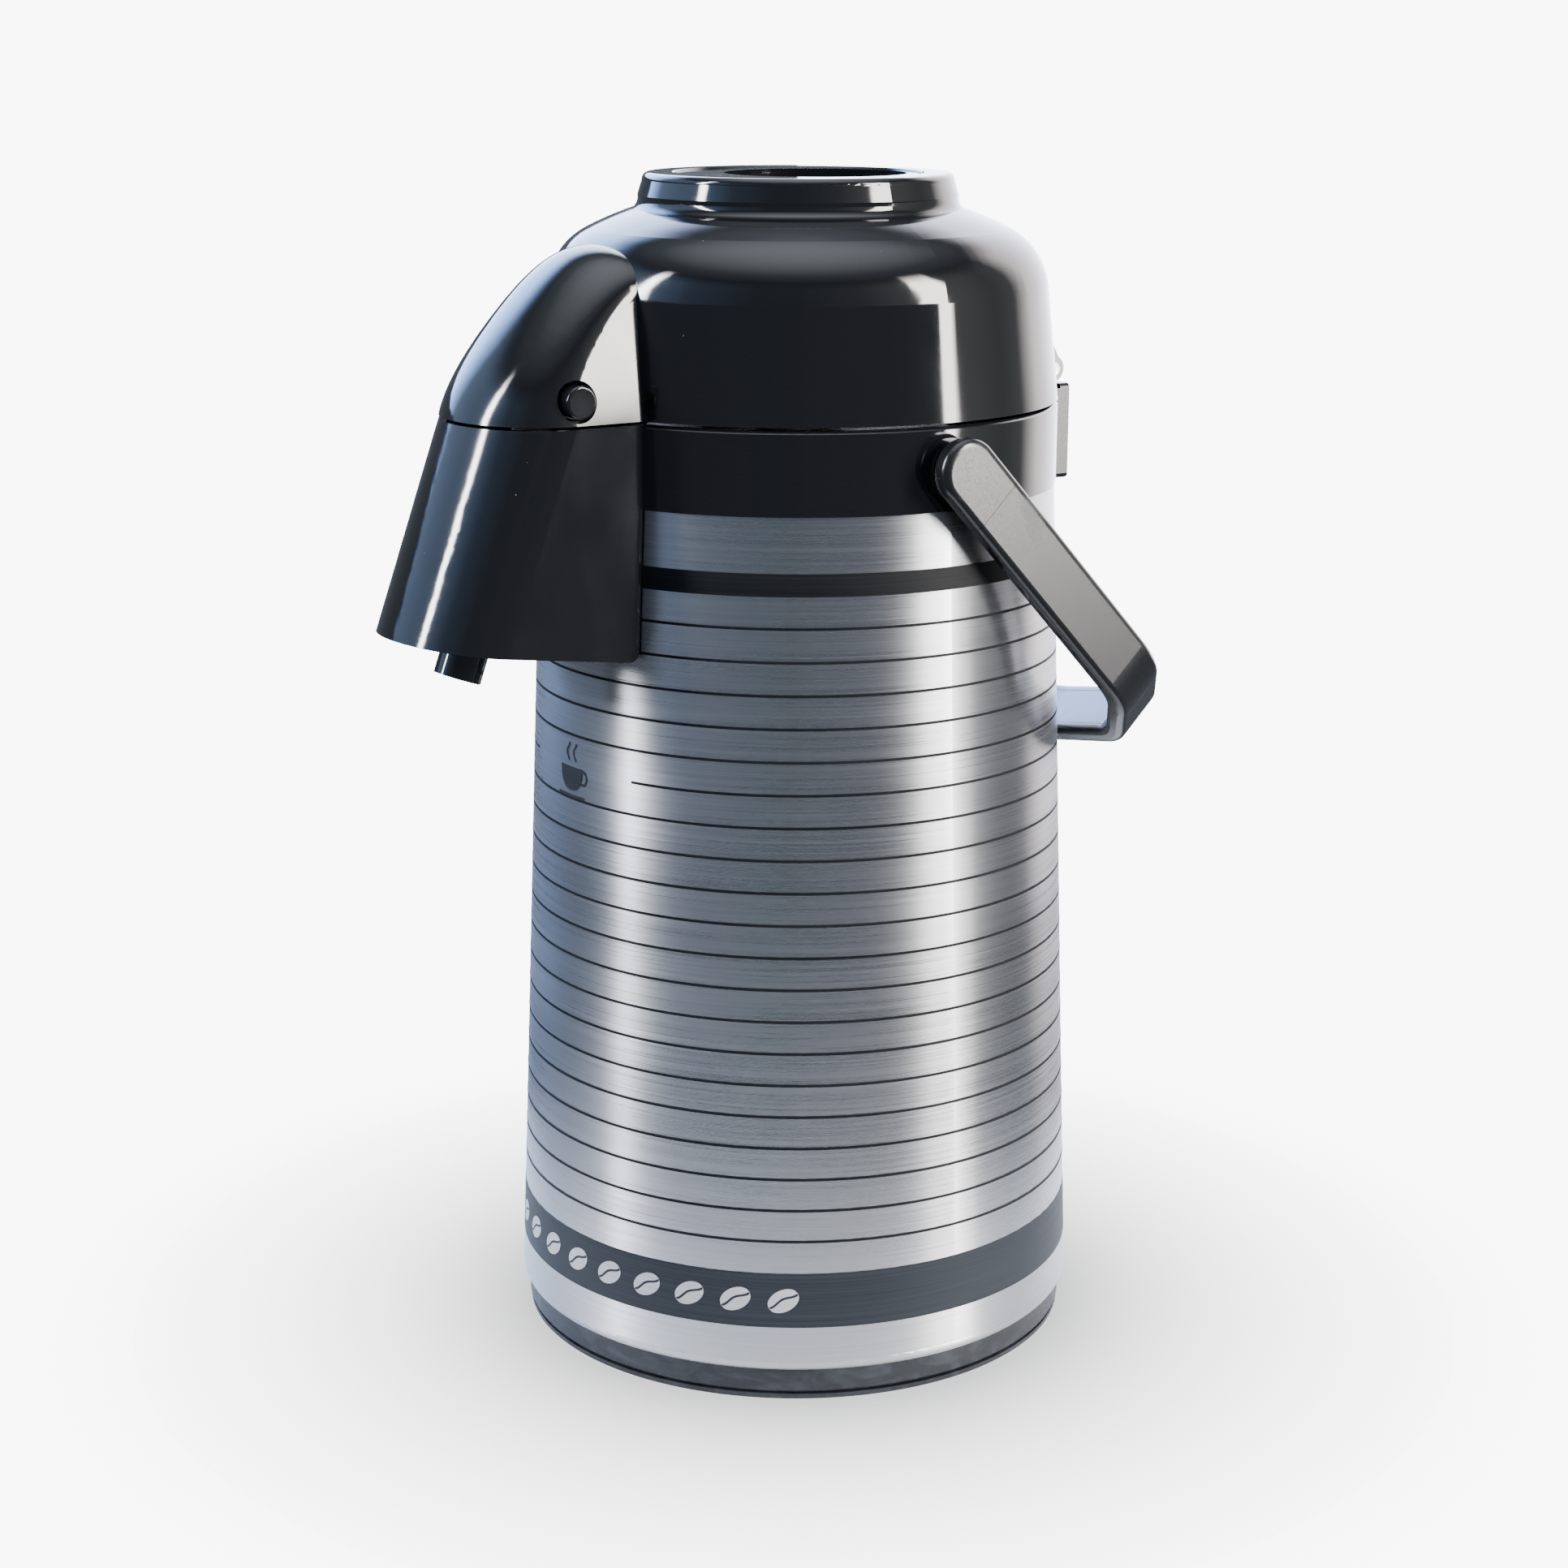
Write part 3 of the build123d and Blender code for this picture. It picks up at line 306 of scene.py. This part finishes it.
def measure_steel():
    points = [v.co for v in nodes["steel_casing"].data.vertices]
    top = max(p.z for p in points)
    r_top = max(math.hypot(p.x, p.y) for p in points if p.z > top - 0.1 * MM)
    r_foot, z_foot = max((math.hypot(p.x, p.y), p.z) for p in points)
    slope = (r_top - r_foot) / (top - z_foot)
    return r_foot - slope * z_foot, slope


# ---------------------------------------------------------------- printed bands
INK_PROUD = 0.05 * MM
INK_SUNK = 0.03 * MM
FIRST_STRIPE = 53.2 * MM
STRIPE_PITCH = 10.0 * MM
STRIPES = 20
STRIPE_W = 0.8 * MM
LOWER_BAND = (25.6 * MM, 43.2 * MM)
UPPER_BAND = (253.1 * MM, 259.9 * MM)
LOGO_AZIMUTH, LOGO_Z = 1.0, 193.5 * MM  # small cup print, under the spout's right side
LOGO_GAP = (-18.0, 20.0)  # azimuths between which the stripe at the cup is left out
LOGO_STRIPE = 14
BEAN_FIRST, BEAN_PITCH, BEANS = -22.0, 9.5, 9  # azimuths, and how many
BEAN_HALF_W, BEAN_HALF_H, BEAN_TILT = 5.2 * MM, 3.5 * MM, 0.5
BEAN_PROUD = 2.5 * INK_PROUD  # printed over the lower band
CUP_SIZE = 15 * MM


def ring_profile(z0, z1):
    return [
        (steel_radius(z0) - INK_SUNK, z0), (steel_radius(z0) + INK_PROUD, z0),
        (steel_radius(z1) + INK_PROUD, z1), (steel_radius(z1) - INK_SUNK, z1),
    ]


def band_mesh(z0, z1, start=0.0, end=360.0):
    """Vertices and faces of a printed band between two azimuths."""
    profile = ring_profile(z0, z1)
    steps = max(8, round((end - start) / 1.4))
    whole = end - start >= 360
    azimuths = [start + (end - start) * i / steps for i in range(steps if whole else steps + 1)]
    vertices = [round_from_spout(a, r, z) for a in azimuths for r, z in profile]
    count, columns = len(profile), len(azimuths)
    faces = []
    for i in range(steps):
        here, there = i * count, (i + 1) % columns * count
        for j in range(count):
            k = (j + 1) % count
            faces.append((here + j, there + j, there + k, here + k))
    if not whole:
        last = (columns - 1) * count
        faces += [(3, 2, 1, 0), (last, last + 1, last + 2, last + 3)]
    return vertices, faces


def print_bands(name, bands, material):
    vertices, faces = [], []
    for band in bands:
        band_vertices, band_faces = band_mesh(*band)
        start = len(vertices)
        vertices += band_vertices
        faces += [tuple(start + i for i in face) for face in band_faces]
    link_mesh(name, vertices, faces, material, "vessel")


def make_prints():
    feet = [FIRST_STRIPE + i * STRIPE_PITCH for i in range(STRIPES)]
    stripes = [(foot, foot + STRIPE_W) for foot in feet]
    stripes[LOGO_STRIPE] += (LOGO_GAP[1], LOGO_GAP[0] + 360)
    stripe_ink = print_ink("stripe_ink", (0.004, 0.005, 0.006), (0.009, 0.01, 0.012))
    print_bands("printed_stripes", stripes, stripe_ink)
    charcoal = print_ink("charcoal_ink", (0.014, 0.017, 0.022), (0.022, 0.026, 0.032))
    print_bands("printed_lower_band", [LOWER_BAND], charcoal)
    black = print_ink("black_ink", (0.004, 0.005, 0.006), (0.01, 0.011, 0.013))
    print_bands("printed_upper_band", [UPPER_BAND], black)
    make_decals(charcoal, print_ink("pale_ink", (0.3, 0.31, 0.33), (0.4, 0.41, 0.43)))


def wrap(u, v, azimuth, z, proud):
    """Point of a flat drawing wrapped onto the steel, u to the right and v up from its centre."""
    height = z + v
    radius = steel_radius(height) + proud
    return round_from_spout(azimuth + math.degrees(u / steel_radius(z)), radius, height)


def decal(name, strips, azimuth, z, material, proud=INK_PROUD):
    """Flat print made of strips, each a list of (lower, upper) point pairs."""
    vertices, faces = [], []
    for strip in strips:
        for lower, upper in strip:
            vertices += [wrap(*lower, azimuth, z, proud), wrap(*upper, azimuth, z, proud)]
        first = len(vertices) - 2 * len(strip)
        for i in range(first, len(vertices) - 2, 2):
            faces.append((i, i + 2, i + 3, i + 1))
    link_mesh(name, vertices, faces, material, "vessel")


def spread(count, low, high):
    return [low + (high - low) * i / (count - 1) for i in range(count)]


def bean_strips(half_w, half_h, tilt):
    """Coffee bean: an oval split by a gently bent line."""
    upper, lower = [], []
    c, s = math.cos(tilt), math.sin(tilt)
    for x in spread(25, -half_w, half_w):
        rim = half_h * math.sqrt(max(0.0, 1 - (x / half_w) ** 2))
        middle = 0.16 * rim * math.cos(math.pi * x / half_w)
        gap = min(0.11 * half_h, rim)
        ends = [max(-rim, min(rim, y)) for y in (middle + gap, rim, -rim, middle - gap)]
        low, high, foot, crest = [(c * x - s * y, s * x + c * y) for y in ends]
        upper.append((low, high))
        lower.append((foot, crest))
    return [upper, lower]


def arc_strip(centre, radius, width, start, end):
    strip = []
    for a in spread(25, math.radians(start), math.radians(end)):
        sides = (radius - width / 2, radius + width / 2)
        strip.append(tuple((centre[0] + r * math.cos(a), centre[1] + r * math.sin(a)) for r in sides))
    return strip


def cup_strips(size):
    """Cup with a handle, a saucer line and two curls of steam."""
    half, depth = 0.42 * size, 0.5 * size
    bowl = []
    for x in spread(31, -half, half):
        foot = -depth * math.sqrt(max(0.0, 1 - abs(x / half) ** 2.6))
        bowl.append(((x, foot), (x, 0.0)))
    saucer = [((x, -0.64 * size), (x, -0.58 * size)) for x in spread(9, -0.5 * size, 0.5 * size)]
    strips = [bowl, saucer, arc_strip((half, -0.18 * size), 0.14 * size, 0.06 * size, -110, 100)]
    for x0 in (-0.14 * size, 0.12 * size):
        steam = []
        for v in spread(17, 0.12 * size, 0.5 * size):
            x = x0 + 0.05 * size * math.sin(v / size * 16)
            steam.append(((x - 0.025 * size, v), (x + 0.025 * size, v)))
        strips.append(steam)
    return strips


def make_decals(dark, light):
    decal("printed_cup", cup_strips(CUP_SIZE), LOGO_AZIMUTH, LOGO_Z, dark)
    middle = sum(LOWER_BAND) / 2
    for i in range(BEANS):
        azimuth = BEAN_FIRST + i * BEAN_PITCH
        strips = bean_strips(BEAN_HALF_W, BEAN_HALF_H, BEAN_TILT)
        decal(f"printed_bean_{i + 1}", strips, azimuth, middle, light, BEAN_PROUD)


def make_bellows(material):
    low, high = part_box("bellows")
    r_out = high.x
    r_in, skin, neck, folds = r_out - 4.6 * MM, 1.1 * MM, 3.0 * MM, 6
    steps = folds * 12
    span = high.z - low.z - 2 * neck
    outer = [(r_in, low.z)]
    for i in range(steps + 1):
        swing = 0.5 - 0.5 * math.cos(2 * math.pi * folds * i / steps)
        outer.append((r_in + (r_out - r_in) * swing, low.z + neck + span * i / steps))
    outer.append((r_in, high.z))
    inner = [(r - skin, z) for r, z in reversed(outer)]
    vertices, faces = lathe(outer + inner, 96)
    made = link_mesh("pump_bellows", vertices, faces, material, "lid")
    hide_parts("bellows")
    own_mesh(made)


def make_return_spring(material):
    low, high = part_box("return_spring")
    wire = 0.8 * MM
    radius = high.x - wire
    turns, around, sides = 7, 40, 10
    height = high.z - low.z - 2 * wire
    vertices, faces = [], []
    count = turns * around
    for i in range(count + 1):
        a = 2 * math.pi * i / around
        centre = Vector((radius * math.cos(a), radius * math.sin(a), low.z + wire + height * i / count))
        outward = Vector((math.cos(a), math.sin(a), 0))
        for j in range(sides):
            b = 2 * math.pi * j / sides
            vertices.append(centre + outward * wire * math.cos(b) + Vector((0, 0, wire * math.sin(b))))
    for i in range(count):
        for j in range(sides):
            k = (j + 1) % sides
            faces.append((i * sides + j, i * sides + k, (i + 1) * sides + k, (i + 1) * sides + j))
    faces.append(tuple(reversed(range(sides))))
    faces.append(tuple(count * sides + j for j in range(sides)))
    made = link_mesh("pump_return_spring", vertices, faces, material, "lid")
    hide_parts("return_spring")
    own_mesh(made)


# ---------------------------------------------------------------- materials on the CAD nodes
def dress_nodes():
    finishes = {
        "casing_steel": brushed_steel(),
        "gloss_black": gloss_black(),
        "satin_black": satin_black(),
        "base_black": base_black(),
        "rubber": soft_rubber("black_rubber", (0.012, 0.012, 0.012), (0.03, 0.03, 0.03)),
        "silicone": soft_rubber("silicone", (0.55, 0.54, 0.5), (0.68, 0.67, 0.63)),
        "inner_plastic": moulded_white("inner_plastic", (0.6, 0.58, 0.53), (0.74, 0.73, 0.7), 0.22),
        "pipe_plastic": moulded_white("pipe_plastic", (0.42, 0.38, 0.32), (0.62, 0.6, 0.56), 0.18),
        "flask_glass": silvered_glass(),
        "zinc": plated_zinc(),
    }
    for part in frame["record"]["subparts"]:
        mesh = nodes[part["node"]].data
        mesh.materials.clear()
        mesh.materials.append(finishes[part["material_slot"]])
        mesh.polygons.foreach_set("use_smooth", [True] * len(mesh.polygons))
        mesh.set_sharp_from_angle(angle=math.radians(30))
    return finishes


# ---------------------------------------------------------------- stage and light
BACKDROP = (0.985, 0.99, 1.0)
BACKDROP_STRENGTH = 9.0
FLOOR_SEEN_R, FLOOR_LIT_R = 12.0, 0.22
FLOOR_FADE = (0.09, 0.26)  # radii between which the floor turns into the backdrop
ROOM_ROUND = [  # degrees right of the camera, red, green, blue
    (-180, 7, 7.5, 9), (-140, 5, 8, 16), (-120, 1, 1.4, 2.2), (-80, 1, 1.4, 2.2),
    (-78, 110, 110, 115), (-74, 110, 110, 115),  # strip lamp
    (-72, 1, 1.5, 2.5), (-50, 0.35, 0.5, 0.8), (-20, 0.15, 0.2, 0.25), (0, 0.15, 0.17, 0.2),
    (30, 0.3, 0.33, 0.4), (50, 0.8, 0.8, 0.8), (56, 1.2, 1.2, 1.2),
    (58, 60, 58, 56), (72, 60, 58, 56),  # window
    (74, 1, 1, 1), (100, 0.4, 0.4, 0.4), (115, 0.5, 0.5, 0.5), (130, 6, 5.5, 5.5), (180, 7, 7.5, 9),
]
ROOM_ABOVE = [  # sine of the elevation, red, green, blue
    (0.0, 0.02, 0.025, 0.03), (0.66, 0.05, 0.06, 0.07),
    (0.8, 0.5, 0.56, 0.64), (1.0, 2.6, 2.8, 3.1),
]
ROOM_BRIGHTEST = 118.0
WALL_TOP, CEILING_FOOT = 0.5, 0.72  # sines of the elevation between which the two blend
ROOM_BELOW = (0.17, 0.19, 0.23)  # nothing under the window sills is brighter
SILL_LEFT = (65.8, 0.16)  # degrees right of the camera, sine of the sill's elevation
SILL_SOFT = 0.012
SILL_RIGHT = (67.2, -0.16)


def stage_disc(name, radius, material, seen):
    """Disc of floor, either what the camera sees or what lights and mirrors in the object."""
    sides = 96
    turns = [2 * math.pi * i / sides for i in range(sides)]
    mesh = bpy.data.meshes.new(name)
    rim = [(radius * math.cos(a), radius * math.sin(a), 0) for a in turns]
    mesh.from_pydata(rim, [], [tuple(range(sides))])
    mesh.materials.append(material)
    disc = bpy.data.objects.new(name, mesh)
    bpy.context.scene.collection.objects.link(disc)
    disc.visible_camera = seen
    disc.visible_glossy = not seen
    disc.visible_diffuse = not seen
    disc.visible_shadow = not seen


def make_stage():
    """Pale floor that takes the object's shadow nearby and fades into the backdrop."""
    s = Shader("pale_floor").set(Roughness=0.6, Specular_IOR_Level=0.0)
    reach = s.node("ShaderNodeVectorMath", operation="LENGTH")
    s.link(s.place(), reach.inputs[0])
    far = s.remap(reach.outputs["Value"], *FLOOR_FADE, 0, 1)
    s.color(s.mix(far, (0.9, 0.905, 0.91), (0.0, 0.0, 0.0)))
    s.link(s.mix(far, (0.12, 0.12, 0.12), BACKDROP), s.bsdf.inputs["Emission Color"])
    s.set(Emission_Strength=BACKDROP_STRENGTH)
    stage_disc("floor_seen", FLOOR_SEEN_R, s.material, True)
    plain = Shader("plain_floor").set(Base_Color=(0.85, 0.86, 0.87, 1), Roughness=0.7)
    stage_disc("floor_lit", FLOOR_LIT_R, plain.material, False)


def light_ramp(tree, value, stops):
    """Colour of the room's light along a value, as a share of the brightest."""
    ramp = tree.nodes.new("ShaderNodeValToRGB")
    elements = ramp.color_ramp.elements
    elements.remove(elements[1])
    for i, (position, *color) in enumerate(stops):
        element = elements[0] if i == 0 else elements.new(position)
        element.position = position
        element.color = (*[c / ROOM_BRIGHTEST for c in color], 1)
    tree.links.new(value, ramp.inputs["Fac"])
    return ramp.outputs["Color"]


def under_sill(tree, compass, z, walls):
    """Walls with the windows cut off below their sill."""
    sill = tree.nodes.new("ShaderNodeMapRange")
    for socket, number in (
        ("From Min", 0.5 + SILL_LEFT[0] / 360), ("From Max", 0.5 + SILL_RIGHT[0] / 360),
        ("To Min", SILL_LEFT[1]), ("To Max", SILL_RIGHT[1]),
    ):
        sill.inputs[socket].default_value = number
    tree.links.new(compass, sill.inputs["Value"])
    height = tree.nodes.new("ShaderNodeMath")
    height.operation = "SUBTRACT"
    tree.links.new(z, height.inputs[0])
    tree.links.new(sill.outputs["Result"], height.inputs[1])
    below = tree.nodes.new("ShaderNodeMapRange")
    below.inputs["From Min"].default_value = 0.0
    below.inputs["From Max"].default_value = -SILL_SOFT
    tree.links.new(height.outputs["Value"], below.inputs["Value"])
    cut = tree.nodes.new("ShaderNodeMix")
    cut.data_type = "RGBA"
    cut.blend_type = "DARKEN"
    tree.links.new(below.outputs["Result"], cut.inputs["Factor"])
    tree.links.new(walls, cut.inputs[6])
    cut.inputs[7].default_value = (*[c / ROOM_BRIGHTEST for c in ROOM_BELOW], 1)
    return cut.outputs[2]


def make_world():
    """White for the camera; for everything else walls lit by two windows under a soft ceiling."""
    world = bpy.data.worlds.new("studio")
    bpy.context.scene.world = world
    world.use_nodes = True
    tree = world.node_tree
    out = tree.nodes["World Output"]
    room = tree.nodes["Background"]
    where = tree.nodes.new("ShaderNodeTexCoord")
    spin = tree.nodes.new("ShaderNodeMapping")
    spin.inputs["Rotation"].default_value = (0, 0, math.radians(90 - VIEW_AZIMUTH))
    tree.links.new(where.outputs["Generated"], spin.inputs["Vector"])
    compass = tree.nodes.new("ShaderNodeTexGradient")
    compass.gradient_type = "RADIAL"
    tree.links.new(spin.outputs["Vector"], compass.inputs["Vector"])
    split = tree.nodes.new("ShaderNodeSeparateXYZ")
    tree.links.new(where.outputs["Generated"], split.inputs["Vector"])
    stops = [(0.5 + degrees / 360, *color) for degrees, *color in ROOM_ROUND]
    walls = light_ramp(tree, compass.outputs["Fac"], stops)
    ceiling = light_ramp(tree, split.outputs["Z"], ROOM_ABOVE)
    rise = tree.nodes.new("ShaderNodeMapRange")
    rise.interpolation_type = "SMOOTHSTEP"
    rise.inputs["From Min"].default_value = WALL_TOP
    rise.inputs["From Max"].default_value = CEILING_FOOT
    tree.links.new(split.outputs["Z"], rise.inputs["Value"])
    blend = tree.nodes.new("ShaderNodeMix")
    blend.data_type = "RGBA"
    tree.links.new(rise.outputs["Result"], blend.inputs["Factor"])
    tree.links.new(under_sill(tree, compass.outputs["Fac"], split.outputs["Z"], walls), blend.inputs[6])
    tree.links.new(ceiling, blend.inputs[7])
    tree.links.new(blend.outputs[2], room.inputs["Color"])
    room.inputs["Strength"].default_value = ROOM_BRIGHTEST
    backdrop = tree.nodes.new("ShaderNodeBackground")
    backdrop.inputs["Color"].default_value = (*BACKDROP, 1)
    backdrop.inputs["Strength"].default_value = BACKDROP_STRENGTH
    ray = tree.nodes.new("ShaderNodeLightPath")
    choose = tree.nodes.new("ShaderNodeMixShader")
    tree.links.new(ray.outputs["Is Camera Ray"], choose.inputs["Fac"])
    tree.links.new(room.outputs["Background"], choose.inputs[1])
    tree.links.new(backdrop.outputs["Background"], choose.inputs[2])
    tree.links.new(choose.outputs["Shader"], out.inputs["Surface"])


# ---------------------------------------------------------------- scene
make_camera()
STEEL_LINE = measure_steel()
finishes = dress_nodes()
make_prints()
make_bellows(finishes["rubber"])
make_return_spring(finishes["zinc"])
make_stage()
make_world()
